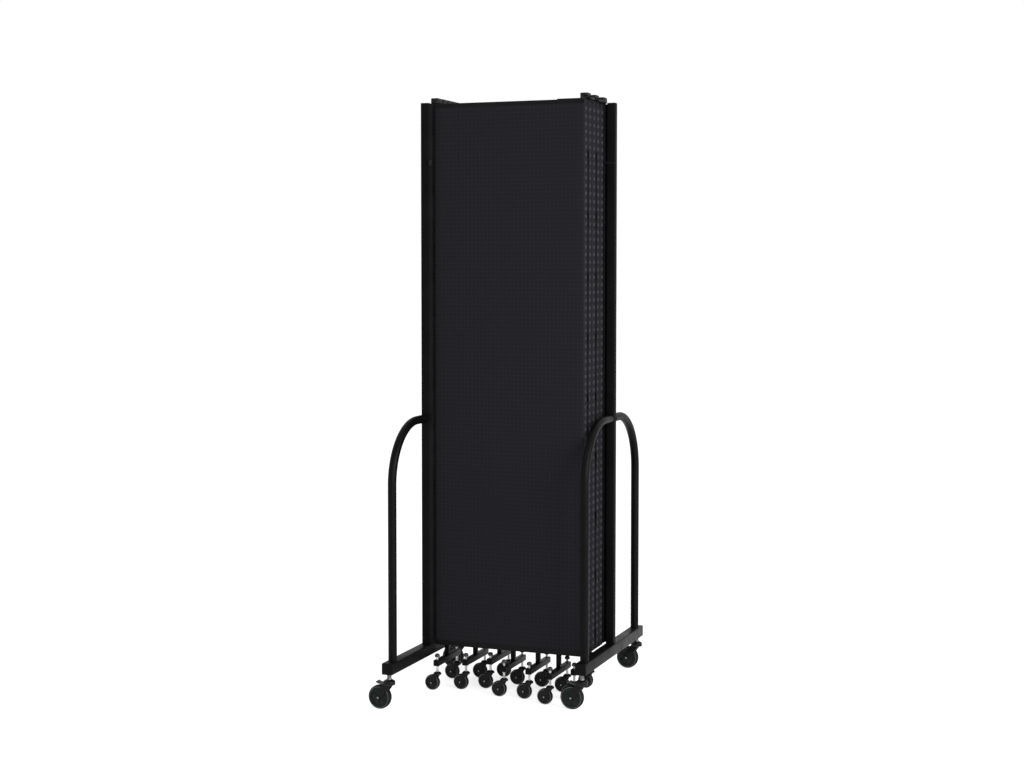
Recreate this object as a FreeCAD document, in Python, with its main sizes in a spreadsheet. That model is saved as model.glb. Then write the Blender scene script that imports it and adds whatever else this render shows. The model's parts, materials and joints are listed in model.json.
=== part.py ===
import FreeCAD, Part
import os
import re

# Folding fabric room divider on casters, in its folded position: five panels hinged edge to
# edge like an accordion between two wheeled end frames.
# Frame: +X along the panels, +Y to the back, +Z up, floor at Z = 0, in millimetres.
# The origin is under the middle of the overall box.

PANELS = 5
HINGE_ROWS = 9
MIDDLE = (PANELS + 1) / 2

SIZES = {
    # Fabric panels and their rails
    "panel_width": 540.0,
    "panel_height": 1859.0,
    "panel_thick": 36.0,
    "panel_gap": 7.0,
    "floor_gap": 153.0,
    "rail_wall": 1.2,
    "top_rail_height": 13.0,
    "bottom_rail_height": 17.0,
    # Hinges between neighbouring panels
    "hinge_reach": 3.0,
    "hinge_first": 43.0,
    "hinge_pitch": 203.0,
    "knuckle_length": 24.0,
    "knuckle_radius": 3.0,
    "knuckle_gap": 0.4,
    "leaf_width": 16.0,
    "leaf_thick": 1.2,
    "leaf_overlap": 1.2,
    "rod_radius": 1.6,
    "running_gap": 0.05,
    # Moulded caps on the panels' top corners, with interleaved ears
    "cap_height": 20.0,
    "cap_inboard": 15.0,
    "cap_reach": 12.0,
    "cap_setback": 7.0,
    "cap_depth": 38.0,
    "tier_gap": 0.6,
    "arm_length": 85.0,
    "arm_height": 3.5,
    "arm_depth": 24.0,
    # End frames: post, joint strip, base tube and hoops
    "post_width": 28.6,
    "post_depth": 25.4,
    "post_wall": 1.6,
    "post_gap": 13.4,
    "post_rise": 3.0,
    "post_setback": 24.0,
    "plug_thick": 2.5,
    "strip_flange": 3.0,
    "strip_leg": 6.0,
    "strip_grip": 6.0,
    "strip_margin": 6.0,
    "rivet_radius": 3.0,
    "rivet_edge": 3.6,
    "rivet_height": 2.0,
    "base_height": 118.0,
    "base_side": 38.1,
    "base_length": 655.0,
    "base_wall": 2.0,
    "leg_inset": 45.0,
    "hoop_radius": 14.3,
    "hoop_wall": 1.6,
    "hoop_bend": 200.0,
    "hoop_height": 938.0,
    "keeper_height": 1812.0,
    "keeper_radius": 6.0,
    "keeper_length": 24.0,
    "keeper_proud": 5.0,
    "keeper_band_height": 7.0,
    "keeper_band_thick": 1.5,
    # Casters of the end frames
    "big_wheel_radius": 40.0,
    "big_wheel_width": 24.0,
    "big_tyre_depth": 9.0,
    "big_tyre_edge": 4.0,
    "big_trail": 33.5,
    "big_inset": 18.0,
    "big_stem_radius": 5.5,
    "big_stem_grip": 30.0,
    "big_collar_radius": 9.0,
    "big_collar_height": 4.0,
    "big_crown_radius": 20.0,
    "big_crown_height": 12.8,
    "big_dome_height": 4.0,
    "big_crown_base": 83.0,
    "big_leg_thick": 3.0,
    "big_leg_gap": 2.0,
    "big_boss_radius": 10.0,
    "big_axle_radius": 5.0,
    "big_axle_head": 7.5,
    # Brake pedals of the two front casters
    "pedal_pivot_back": 15.0,
    "pedal_pivot_rise": 2.8,
    "pedal_notch_gap": 0.8,
    "pedal_pin_radius": 1.6,
    "pedal_barrel_radius": 3.2,
    "pedal_length": 28.0,
    "pedal_thick": 3.5,
    "pedal_side_gap": 0.6,
    # Casters of the caster bars
    "small_wheel_radius": 27.0,
    "small_wheel_width": 18.0,
    "small_tyre_depth": 7.0,
    "small_tyre_edge": 3.0,
    "small_trail": 18.0,
    "small_stem_radius": 4.0,
    "small_collar_radius": 7.0,
    "small_collar_height": 3.0,
    "small_cap_radius": 9.0,
    "small_cap_height": 12.0,
    "small_cap_lift": 10.0,
    "small_crown_radius": 14.0,
    "small_crown_height": 5.5,
    "small_dome_height": 3.5,
    "small_crown_base": 55.5,
    "small_leg_thick": 2.2,
    "small_leg_gap": 1.4,
    "small_boss_radius": 7.0,
    "small_axle_radius": 3.5,
    "small_axle_head": 5.5,
    "axle_head_height": 2.0,
    "stem_head_radius": 2.5,
    "stem_head_height": 2.2,
    "swivel_gap": 0.35,
    "seat_gap": 0.05,
    # Caster bars under the panels, placed from the middle of the panels' width
    "bar_side": 20.0,
    "bar_bottom": 86.0,
    "bar_spacing": 174.0,
    "bar_end": 12.0,
    "bar_post_side": 15.0,
    "bar1_x": -251.0,
    "bar2_x": -162.0,
    "bar3_x": -88.0,
    "bar4_x": -4.0,
    "bar5_x": 87.0,
    "bar6_x": 177.0,
    "bar7_x": 233.0,
}

# The panel that carries each caster bar, from the left end to the right.
BAR_PANELS = (2, 3, 4, 2, 2, 1, 3)

DERIVED = {
    "pitch": "panel_thick + panel_gap",
    "panel_top": "floor_gap + panel_height",
    "rail_depth": "panel_thick + 2 * rail_wall",
    "frame_x": "panel_width / 2 + post_gap + post_width / 2",
    "frame_y": "%g * pitch + post_setback" % (MIDDLE - 1),
    "mid_x": "(big_trail + big_wheel_radius - base_side / 2) / 2",
    "base_top": "base_height + base_side",
    "post_height": "panel_top + post_rise - base_top - plug_thick",
    "leg_y": "base_length / 2 - leg_inset",
    "leg_height": "hoop_height - hoop_bend - base_top",
    "stub_length": "leg_y - hoop_bend - post_depth / 2",
    "stem_y": "base_length / 2 - big_inset",
    "bar_top": "bar_bottom + bar_side",
    "tier": "cap_height / 2",
    "strip_back": "post_setback - panel_thick / 2 + strip_grip",
}

UP = FreeCAD.Vector(0, 0, 1)
LEVEL = FreeCAD.Rotation()
HALF_TURN = FreeCAD.Rotation(UP, 180)
Z_TO_Y = FreeCAD.Rotation(FreeCAD.Vector(1, 0, 0), -90)
Y_TO_Z = FreeCAD.Rotation(FreeCAD.Vector(1, 0, 0), 90)
BEND_UPRIGHT = FreeCAD.Rotation(
    FreeCAD.Vector(0, -1, 0), FreeCAD.Vector(0, 0, 1), FreeCAD.Vector(-1, 0, 0), "XYZ")

doc = FreeCAD.newDocument("Divider")
sheet = doc.addObject("Spreadsheet::Sheet", "Sizes")
nodes = []


def fill_sheet():
    """One row a size: its name, its value or formula, and the name as the cell's alias."""
    rows = list(SIZES.items()) + [(name, "=" + text) for name, text in DERIVED.items()]
    for row, (name, value) in enumerate(rows, start=1):
        sheet.set("A%d" % row, name)
        sheet.set("B%d" % row, str(value))
        sheet.setAlias("B%d" % row, name)
    doc.recompute()


def bind(thing, **formulas):
    """Tie properties to formulas written in the sheet's own names."""
    for prop, text in formulas.items():
        thing.setExpression(prop, re.sub(r"[a-z]\w*", r"Sizes.\g<0>", text))


def place(thing, at, turn=LEVEL):
    """Turn a piece, then tie its position to three formulas."""
    thing.Placement = FreeCAD.Placement(FreeCAD.Vector(), turn)
    for axis, text in zip("xyz", at):
        bind(thing, **{"Placement.Base." + axis: text})
    return thing


def box(name, size, at):
    thing = doc.addObject("Part::Box", name)
    bind(thing, Length=size[0], Width=size[1], Height=size[2])
    return place(thing, at)


def rod(name, radius, length, at, turn=LEVEL):
    thing = doc.addObject("Part::Cylinder", name)
    bind(thing, Radius=radius, Height=length)
    return place(thing, at, turn)


def cone(name, start, end, length, at, turn=LEVEL):
    thing = doc.addObject("Part::Cone", name)
    bind(thing, Radius1=start, Radius2=end, Height=length)
    return place(thing, at, turn)


def quarter_bend(name, bend, radius, at):
    """Quarter ring in the YZ plane, from a leg on the -Y side up to a level run."""
    thing = doc.addObject("Part::Torus", name)
    bind(thing, Radius1=bend, Radius2=radius)
    thing.Angle3 = 90
    return place(thing, at, BEND_UPRIGHT)


def plate(name, foot, top, low, high, front, back):
    """Upright plate whose X range tapers from foot at Z low to top at Z high."""
    thing = doc.addObject("Part::Wedge", name)
    bind(thing, Xmin=foot[0], Xmax=foot[1], X2min=top[0], X2max=top[1], Ymin=low, Ymax=high)
    bind(thing, Zmin="-(%s)" % back, Z2min="-(%s)" % back)
    bind(thing, Zmax="-(%s)" % front, Z2max="-(%s)" % front)
    return place(thing, ("0", "0", "0"), Y_TO_Z)


def fuse(name, *pieces):
    thing = doc.addObject("Part::MultiFuse", name)
    thing.Shapes = list(pieces)
    thing.Refine = True
    return thing


def cut(name, base, *tools):
    thing = doc.addObject("Part::Cut", name)
    thing.Base = base
    thing.Tool = tools[0] if len(tools) == 1 else fuse(name + "Tools", *tools)
    return thing


def group(name, *pieces):
    """Separate solids held together, without joining them."""
    thing = doc.addObject("Part::Compound", name)
    thing.Links = list(pieces)
    return thing


def copy(name, piece, at, turn=LEVEL):
    return place(group(name, piece), at, turn)


def node(label, at, *pieces, turn=LEVEL):
    """A finished sub-part, named for its file."""
    thing = place(group(label, *pieces), at, turn)
    thing.Label = label
    nodes.append(thing)


def panel_place(number):
    return ("mid_x", "%g * pitch" % (number - MIDDLE), "0")


def make_board():
    """Fabric-wrapped board, seated inside the two rails."""
    return box(
        "Board",
        ("panel_width", "panel_thick", "panel_height - 2 * rail_wall"),
        ("-panel_width / 2", "-panel_thick / 2", "floor_gap + rail_wall"))


def make_rail(name, height, low, slot_low):
    """Channel over one edge of the board, open towards it."""
    body = box(
        name + "Body", ("panel_width", "rail_depth", height),
        ("-panel_width / 2", "-rail_depth / 2", low))
    slot = box(
        name + "Slot", ("panel_width", "panel_thick", height),
        ("-panel_width / 2", "-panel_thick / 2", slot_low))
    return cut(name, body, slot)


def make_knuckle(name, level, side):
    """Hinge leaf on the board's right edge with a barrel on the hinge axis.

    side is 1 where the axis lies behind the panel, -1 where it lies in front of it."""
    axis_x = "panel_width / 2 + hinge_reach"
    axis_y = "%d * pitch / 2" % side
    leaf_y = "pitch / 2 - leaf_overlap - leaf_width" if side > 0 else "leaf_overlap - pitch / 2"
    leaf = box(
        name + "Leaf", ("leaf_thick", "leaf_width", "knuckle_length"),
        ("panel_width / 2", leaf_y, level))
    barrel = rod(name + "Barrel", "knuckle_radius", "knuckle_length", (axis_x, axis_y, level))
    bore = rod(name + "Bore", "rod_radius + running_gap", "knuckle_length", (axis_x, axis_y, level))
    return cut(name, fuse(name + "Solid", leaf, barrel), bore)


def make_hinge_half(name, level, side):
    """The knuckles of one panel along its right edge, one a hinge row."""
    knuckle = make_knuckle(name + "Knuckle", level, side)
    rows = []
    for row in range(HINGE_ROWS):
        height = "floor_gap + hinge_first + %d * hinge_pitch" % row
        rows.append(copy("%sRow%d" % (name, row + 1), knuckle, ("0", "0", height)))
    return group(name, *rows)


def make_hinge_rod():
    length = "%d * hinge_pitch + 2 * knuckle_length + knuckle_gap" % (HINGE_ROWS - 1)
    low = "floor_gap + hinge_first - knuckle_length - knuckle_gap / 2"
    return rod("HingeRod", "rod_radius", length, ("panel_width / 2 + hinge_reach", "pitch / 2", low))


def make_cap(name, ear_up):
    """Corner cap at the panel's top right: a body, an ear past the edge in one tier, an arm."""
    inner = "panel_width / 2 - cap_inboard"
    ear_low = "panel_top + tier + tier_gap / 2" if ear_up else "panel_top + tier_gap"
    ear_height = "tier - tier_gap / 2" if ear_up else "tier - 3 * tier_gap / 2"
    body = box(
        name + "Body", ("cap_inboard - cap_setback", "cap_depth", "cap_height"),
        (inner, "-cap_depth / 2", "panel_top"))
    ear = box(
        name + "Ear", ("cap_inboard + cap_reach", "cap_depth", ear_height),
        (inner, "-cap_depth / 2", ear_low))
    arm = box(
        name + "Arm", ("arm_length", "arm_depth", "arm_height"),
        (inner + " - arm_length", "-arm_depth / 2", "panel_top"))
    return fuse(name, body, ear, arm)


def make_end_cap():
    """Corner cap beside an end post: one block in both tiers, as no neighbour has to pass it."""
    return box(
        "EndCap", ("cap_inboard + post_gap - tier_gap", "cap_depth", "cap_height"),
        ("panel_width / 2 - cap_inboard", "-cap_depth / 2", "panel_top"))


def make_panels():
    board = make_board()
    top_low = "panel_top - top_rail_height"
    top_rail = make_rail("TopRail", "top_rail_height", top_low, top_low + " - rail_wall")
    bottom_rail = make_rail("BottomRail", "bottom_rail_height", "floor_gap", "floor_gap + rail_wall")
    odd_half = make_hinge_half("OddHinge", "-knuckle_length - knuckle_gap / 2", 1)
    even_half = make_hinge_half("EvenHinge", "knuckle_gap / 2", -1)
    hinge_rod = make_hinge_rod()
    odd_cap = make_cap("OddCap", True)
    even_cap = make_cap("EvenCap", False)
    end_cap = make_end_cap()
    still = ("0", "0", "0")
    for number in range(1, PANELS + 1):
        odd = number % 2 == 1
        name = "Panel%d" % number
        half = group(name + "Half", odd_half, hinge_rod) if odd else even_half
        cap = odd_cap if odd else even_cap
        pieces = [top_rail, bottom_rail]
        for side, turn in (("Right", LEVEL), ("Left", HALF_TURN)):
            frame_side = "Left" if number == 1 else "Right" if number == PANELS else ""
            hinged = side != frame_side
            pieces.append(copy(name + side + "Cap", cap if hinged else end_cap, still, turn))
            if hinged:
                pieces.append(copy(name + side + "Hinge", half, still, turn))
        node("fabric_panel_%d" % number, panel_place(number), board)
        node("panel_frame_%d" % number, panel_place(number), *pieces)


def make_post():
    """End post, a rectangular tube with a plug on top and an angle strip that closes the joint."""
    body = box(
        "PostBody", ("post_width", "post_depth", "post_height"),
        ("-post_width / 2", "-post_depth / 2", "base_top"))
    hollow = box(
        "PostHollow", ("post_width - 2 * post_wall", "post_depth - 2 * post_wall", "post_height"),
        ("post_wall - post_width / 2", "post_wall - post_depth / 2", "base_top"))
    plug = box(
        "PostPlug", ("post_width", "post_depth", "plug_thick"),
        ("-post_width / 2", "-post_depth / 2", "base_top + post_height"))
    height = "panel_height - strip_margin"
    low = "floor_gap + strip_margin"
    flange = box(
        "StripFlange", ("post_gap", "strip_flange", height), ("post_width / 2", "-post_depth / 2", low))
    leg = box(
        "StripLeg", ("strip_leg", "strip_back + post_depth / 2", height),
        ("post_width / 2 + post_gap - strip_leg", "-post_depth / 2", low))
    strip = fuse("JointStrip", flange, leg)
    return group("PostSet", cut("PostTube", body, hollow), plug, strip)


def make_base():
    """Base tube with end plugs and the fixed stems of its two casters."""
    body = box(
        "BaseBody", ("base_side", "base_length - 2 * plug_thick", "base_side"),
        ("-base_side / 2", "plug_thick - base_length / 2", "base_height"))
    inside = "base_side - 2 * base_wall"
    hollow = box(
        "BaseHollow", (inside, "base_length", inside),
        ("base_wall - base_side / 2", "-base_length / 2", "base_height + base_wall"))
    pieces = []
    holes = []
    for end, sign in (("Front", "-"), ("Back", "")):
        spot = sign + "stem_y"
        holes.append(rod(
            "BaseHole" + end, "big_stem_radius + seat_gap", "2 * base_wall",
            ("0", spot, "base_height - base_wall")))
        face = "-base_length / 2" if sign else "base_length / 2 - plug_thick"
        pieces.append(box(
            "BasePlug" + end, ("base_side", "plug_thick", "base_side"),
            ("-base_side / 2", face, "base_height")))
        pieces.append(copy("BaseStem" + end, make_big_stem(end), ("0", spot, "0")))
    return group("BaseSet", cut("BaseTube", body, hollow, *holes), *pieces)


def make_big_stem(end):
    """Stem fixed in the base tube, with a collar under the tube and a head under the fork."""
    low = "big_crown_base - swivel_gap"
    length = "base_height + big_stem_grip - big_crown_base + swivel_gap"
    shaft = rod("BigShaft" + end, "big_stem_radius", length, ("0", "0", low))
    collar = rod(
        "BigCollar" + end, "big_collar_radius", "big_collar_height",
        ("0", "0", "base_height - big_collar_height"))
    head = rod(
        "BigHead" + end, "big_stem_radius + stem_head_radius", "stem_head_height",
        ("0", "0", low + " - stem_head_height"))
    return fuse("BigStem" + end, shaft, collar, head)


def make_hoop_core(name, radius):
    """Solid run of the hoop: leg, quarter bend and level stub in front of the post."""
    bend_y = "hoop_bend - leg_y"
    leg = rod(name + "Leg", radius, "leg_height", ("0", "-leg_y", "base_top"))
    bend = quarter_bend(name + "Bend", "hoop_bend", radius, ("0", bend_y, "hoop_height - hoop_bend"))
    stub = rod(name + "Stub", radius, "stub_length", ("0", bend_y, "hoop_height"), Z_TO_Y)
    return fuse(name, leg, bend, stub)


def make_hoops():
    outside = make_hoop_core("HoopOuter", "hoop_radius")
    inside = make_hoop_core("HoopInner", "hoop_radius - hoop_wall")
    hoop = cut("Hoop", outside, inside)
    return group("HoopSet", hoop, copy("HoopBack", hoop, ("0", "0", "0"), HALF_TURN))


def make_fasteners():
    """Rivets down the joint strip, and the oval keeper with its band across the post's back."""
    pieces = []
    front = "-post_depth / 2 - rivet_height"
    for row in range(HINGE_ROWS - 1):
        height = "floor_gap + hinge_first + %d * hinge_pitch" % row
        pieces.append(rod(
            "Rivet%d" % (row + 1), "rivet_radius", "rivet_height",
            ("post_width / 2 + post_gap - rivet_edge", front, height), Z_TO_Y))
    pieces.append(make_keeper())
    pieces.append(box(
        "KeeperBand", ("post_width + post_gap - strip_leg", "keeper_band_thick", "keeper_band_height"),
        ("-post_width / 2", "post_depth / 2", "keeper_height - keeper_band_height / 2")))
    return group("FastenerSet", *pieces)


def make_keeper():
    """Oval button standing on the front of the joint strip."""
    run = "keeper_length - 2 * keeper_radius"
    low = "keeper_height - (%s) / 2" % run
    high = "keeper_height + (%s) / 2" % run
    middle = "(post_width + post_gap) / 2"
    face = "-post_depth / 2 - keeper_proud"
    return fuse(
        "Keeper",
        rod("KeeperLow", "keeper_radius", "keeper_proud", (middle, face, low), Z_TO_Y),
        rod("KeeperHigh", "keeper_radius", "keeper_proud", (middle, face, high), Z_TO_Y),
        box("KeeperMiddle", ("2 * keeper_radius", "keeper_proud", run),
            (middle + " - keeper_radius", face, low)))


def make_end_frames():
    post = make_post()
    base = make_base()
    hoops = make_hoops()
    fasteners = make_fasteners()
    for side, sign, turn in (("left", "-", LEVEL), ("right", "+", HALF_TURN)):
        spot = ("mid_x %s frame_x" % sign, "0 %s frame_y" % sign, "0")
        node(side + "_post", spot, post, turn=turn)
        node(side + "_base_tube", spot, base, turn=turn)
        node(side + "_hoops", spot, hoops, turn=turn)
        node(side + "_fasteners", spot, fasteners, turn=turn)


def make_wheel(size):
    """Tyre with chamfered edges on a hub that is bored for the axle, turning about Y."""
    name = size.title()
    radius = size + "_wheel_radius"
    width = size + "_wheel_width"
    edge = size + "_tyre_edge"
    seat = "%s - %s_tyre_depth" % (radius, size)
    flat = "%s - 2 * %s" % (width, edge)
    blank = fuse(
        name + "TyreBlank",
        rod(name + "Tread", radius, flat, ("0", "%s - %s / 2" % (edge, width), "0"), Z_TO_Y),
        cone(name + "TyreFront", "%s - %s" % (radius, edge), radius, edge,
             ("0", "-%s / 2" % width, "0"), Z_TO_Y),
        cone(name + "TyreBack", radius, "%s - %s" % (radius, edge), edge,
             ("0", "%s / 2 - %s" % (width, edge), "0"), Z_TO_Y))
    tyre = cut(
        name + "Tyre", blank,
        rod(name + "TyreBore", seat, width, ("0", "-%s / 2" % width, "0"), Z_TO_Y))
    hub = cut(
        name + "Hub",
        rod(name + "HubBlank", seat + " - seat_gap", width, ("0", "-%s / 2" % width, "0"), Z_TO_Y),
        rod(name + "HubBore", size + "_axle_radius + running_gap", width,
            ("0", "-%s / 2" % width, "0"), Z_TO_Y))
    return group(name + "Wheel", tyre, hub)


def make_fork(size, pedal=False):
    """Yoke under the stem: crown, dome and two tapered legs, with the axle as its own solid.

    The crown of a braked yoke is notched between the legs, where the pedal turns."""
    name = size.title() + ("BrakeFork" if pedal else "Fork")
    crown_radius = size + "_crown_radius"
    crown_base = size + "_crown_base"
    crown_top = "%s + %s_crown_height" % (crown_base, size)
    leg_thick = size + "_leg_thick"
    inner = "%s_wheel_width / 2 + %s_leg_gap" % (size, size)
    outer = "%s + %s" % (inner, leg_thick)
    boss = size + "_boss_radius"
    trail = size + "_trail"
    axle_z = size + "_wheel_radius"
    pieces = [
        rod(name + "Crown", crown_radius, size + "_crown_height", ("0", "0", crown_base)),
        cone(name + "Dome", crown_radius, size + "_collar_radius", size + "_dome_height",
             ("0", "0", crown_top)),
    ]
    for side, front, back in (("Front", "-(%s)" % outer, "-(%s)" % inner), ("Back", inner, outer)):
        pieces.append(plate(
            name + "Leg" + side,
            ("-%s - %s" % (trail, boss), "%s - %s" % (boss, trail)),
            ("-" + crown_radius, crown_radius + " / 2"),
            axle_z, crown_base + " + %s_crown_height / 2" % size, front, back))
        pieces.append(rod(name + "Boss" + side, boss, leg_thick, ("-" + trail, front, axle_z), Z_TO_Y))
    crown_depth = "%s_crown_height + %s_dome_height" % (size, size)
    tools = [
        rod(name + "StemBore", size + "_stem_radius + running_gap", crown_depth, ("0", "0", crown_base)),
        rod(name + "AxleBore", size + "_axle_radius + seat_gap", "2 * (%s)" % outer,
            ("-" + trail, "-(%s)" % outer, axle_z), Z_TO_Y),
    ]
    extras = [make_axle(name, size, outer)]
    if pedal:
        pin_x = "-pedal_pivot_back"
        pin_z = "big_crown_base + pedal_pivot_rise"
        span = "2 * (%s)" % outer
        pin_end = (pin_x, "-(%s)" % outer, pin_z)
        tools.append(rod(name + "PinBore", "pedal_pin_radius + seat_gap", span, pin_end, Z_TO_Y))
        room = "pedal_barrel_radius + pedal_notch_gap"
        tools.append(box(
            name + "PedalNotch",
            ("big_crown_radius - pedal_pivot_back + " + room, "2 * (%s)" % inner, "pedal_pivot_rise + " + room),
            ("-big_crown_radius", "-(%s)" % inner, "big_crown_base")))
        extras.append(rod(name + "Pin", "pedal_pin_radius", span, pin_end, Z_TO_Y))
    return group(name + "Set", cut(name, fuse(name + "Solid", *pieces), *tools), *extras)


def make_axle(name, size, outer):
    """Axle through both legs, with a head outside each."""
    span = "2 * (%s)" % outer
    at_x = "-%s_trail" % size
    at_z = size + "_wheel_radius"
    return fuse(
        name + "Axle",
        rod(name + "AxleShaft", size + "_axle_radius", span, (at_x, "-(%s)" % outer, at_z), Z_TO_Y),
        rod(name + "AxleFront", size + "_axle_head", "axle_head_height",
            (at_x, "-(%s) - axle_head_height" % outer, at_z), Z_TO_Y),
        rod(name + "AxleBack", size + "_axle_head", "axle_head_height", (at_x, outer, at_z), Z_TO_Y))


def make_pedal():
    """Brake pedal: a barrel on its pin between the legs and a plate back over the wheel."""
    pin_x = "-pedal_pivot_back"
    pin_z = "big_crown_base + pedal_pivot_rise"
    half = "(big_wheel_width / 2 + big_leg_gap - pedal_side_gap)"
    width = "2 * " + half
    barrel = rod("PedalBarrel", "pedal_barrel_radius", width, (pin_x, "-" + half, pin_z), Z_TO_Y)
    tread = box(
        "PedalPlate", ("pedal_length", width, "pedal_thick"),
        ("-pedal_pivot_back - pedal_length", "-" + half, pin_z + " - pedal_thick / 2"))
    bore = rod("PedalBore", "pedal_pin_radius + running_gap", width, (pin_x, "-" + half, pin_z), Z_TO_Y)
    return cut("Pedal", fuse("PedalSolid", barrel, tread), bore)


def make_frame_casters():
    wheel = make_wheel("big")
    forks = {"front": make_fork("big", pedal=True), "back": make_fork("big")}
    pedal = make_pedal()
    for side, sign in (("left", "-"), ("right", "+")):
        for end, step in (("front", "-"), ("back", "+")):
            at_x = "mid_x %s frame_x" % sign
            at_y = "0 %s frame_y %s stem_y" % (sign, step)
            name = "%s_%s" % (side, end)
            node(name + "_fork", (at_x, at_y, "0"), forks[end])
            node(name + "_wheel", (at_x + " - big_trail", at_y, "big_wheel_radius"), wheel)
            if end == "front":
                node(name + "_pedal", (at_x, at_y, "0"), pedal)


def make_small_stem():
    """Threaded stem through a caster bar: cap above, collar below, head under the fork."""
    low = "small_crown_base - swivel_gap"
    length = "bar_top + small_cap_lift - small_crown_base + swivel_gap"
    shaft = rod("SmallShaft", "small_stem_radius", length, ("0", "0", low))
    collar = rod(
        "SmallCollar", "small_collar_radius", "small_collar_height",
        ("0", "0", "bar_bottom - small_collar_height"))
    cap = rod("SmallCap", "small_cap_radius", "small_cap_height", ("0", "0", "bar_top + small_cap_lift"))
    head = rod(
        "SmallHead", "small_stem_radius + stem_head_radius", "stem_head_height",
        ("0", "0", low + " - stem_head_height"))
    return fuse("SmallStem", shaft, collar, cap, head)


def make_caster_bar():
    """T-shaped carrier: a post under the panel and a cross bar bored for two stems."""
    post = box(
        "BarPost", ("bar_post_side", "bar_post_side", "floor_gap - bar_top"),
        ("-bar_post_side / 2", "-bar_post_side / 2", "bar_top"))
    beam = box(
        "BarBeam", ("bar_side", "bar_spacing + 2 * bar_end", "bar_side"),
        ("-bar_side / 2", "-bar_spacing / 2 - bar_end", "bar_bottom"))
    stem = make_small_stem()
    holes = []
    stems = []
    for end, sign in (("Front", "-"), ("Back", "")):
        spot = sign + "bar_spacing / 2"
        holes.append(rod(
            "BarHole" + end, "small_stem_radius + seat_gap", "bar_side", ("0", spot, "bar_bottom")))
        stems.append(copy("BarStem" + end, stem, ("0", spot, "0")))
    return group("CasterBar", post, cut("BarCross", beam, *holes), *stems)


def make_bar_casters():
    bar = make_caster_bar()
    wheel = make_wheel("small")
    fork = make_fork("small")
    for panel in sorted(set(BAR_PANELS)):
        carried = [index for index, owner in enumerate(BAR_PANELS, start=1) if owner == panel]
        bars = [copy("Bar%d" % index, bar, ("bar%d_x" % index, "0", "0")) for index in carried]
        node("caster_bars_%d" % panel, panel_place(panel), *bars)
    for index, panel in enumerate(BAR_PANELS, start=1):
        at_x = "mid_x + bar%d_x" % index
        for end, sign in (("front", "-"), ("back", "+")):
            at_y = "%g * pitch %s bar_spacing / 2" % (panel - MIDDLE, sign)
            name = "bar%d_%s" % (index, end)
            node(name + "_fork", (at_x, at_y, "0"), fork)
            node(name + "_wheel", (at_x + " - small_trail", at_y, "small_wheel_radius"), wheel)


def check_and_write():
    """Stop on any failed piece, then write each sub-part as its own file of solids."""
    for thing in doc.Objects:
        if "Invalid" in thing.State or "Error" in thing.State:
            raise RuntimeError("%s failed: %s" % (thing.Name, thing.State))
    for thing in nodes:
        shape = thing.Shape
        if shape.isNull() or not shape.isValid() or not shape.Solids:
            raise RuntimeError("%s has no valid shape" % thing.Label)
    os.makedirs("parts", exist_ok=True)
    for thing in nodes:
        solids = thing.Shape.Solids
        whole = solids[0] if len(solids) == 1 else Part.makeCompound(solids)
        whole.exportStep("parts/%s.step" % thing.Label)
    print("%d sub-parts, %d solids" % (len(nodes), sum(len(thing.Shape.Solids) for thing in nodes)))


fill_sheet()
make_panels()
make_end_frames()
make_frame_casters()
make_bar_casters()
doc.recompute()
check_and_write()
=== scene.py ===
"""Looks of a folding fabric room divider on casters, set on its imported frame.

Metres, in the frame's own axes: +X along the panels, +Y to the back, +Z up.
"""
import json
import math

import bpy
import numpy as np
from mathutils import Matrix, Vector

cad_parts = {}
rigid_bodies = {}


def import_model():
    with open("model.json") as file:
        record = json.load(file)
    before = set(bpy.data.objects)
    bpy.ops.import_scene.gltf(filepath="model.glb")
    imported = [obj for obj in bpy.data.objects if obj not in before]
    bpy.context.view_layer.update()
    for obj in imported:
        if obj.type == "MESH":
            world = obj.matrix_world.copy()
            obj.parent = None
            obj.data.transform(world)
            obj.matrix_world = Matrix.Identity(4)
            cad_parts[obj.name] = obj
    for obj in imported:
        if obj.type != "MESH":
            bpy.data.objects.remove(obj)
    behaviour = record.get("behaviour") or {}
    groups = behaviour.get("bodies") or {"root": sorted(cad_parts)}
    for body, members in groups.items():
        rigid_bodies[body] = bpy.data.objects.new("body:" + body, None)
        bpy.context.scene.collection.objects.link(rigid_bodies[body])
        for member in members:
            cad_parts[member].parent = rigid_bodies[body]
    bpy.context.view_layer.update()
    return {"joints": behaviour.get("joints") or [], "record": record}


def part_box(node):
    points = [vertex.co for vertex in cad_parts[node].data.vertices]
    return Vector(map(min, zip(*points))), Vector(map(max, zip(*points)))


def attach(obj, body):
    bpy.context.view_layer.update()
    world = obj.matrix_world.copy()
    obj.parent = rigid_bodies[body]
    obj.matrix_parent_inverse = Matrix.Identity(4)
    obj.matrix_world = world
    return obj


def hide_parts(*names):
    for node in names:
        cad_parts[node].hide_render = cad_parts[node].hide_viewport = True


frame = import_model()

MM = 0.001
JOINTS = {joint["name"]: joint for joint in frame["joints"]}
OWNER = {node: body for body, nodes in frame["record"]["behaviour"]["bodies"].items() for node in nodes}
TO_XYZ = {"x": (2, 0, 1), "y": (1, 2, 0), "z": (0, 1, 2)}
ABOUT = {"x": (1, 2, 0), "y": (2, 0, 1), "z": (0, 1, 2)}
LEVEL = np.array([1.0, 1.0, 0.0])
# Faces that meet at more than this angle, in degrees, keep a sharp edge.
SHARP_FROM = 32.0


def box(node):
    """Lowest and highest corner of a CAD node's box."""
    low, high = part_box(node)
    return np.array(low), np.array(high)


def joint_place(name):
    """Where a joint's axis passes."""
    return np.array(JOINTS[name]["pos_m"])


# Surfaces: each is (points, list of face arrays), every face turned outwards.

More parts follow.
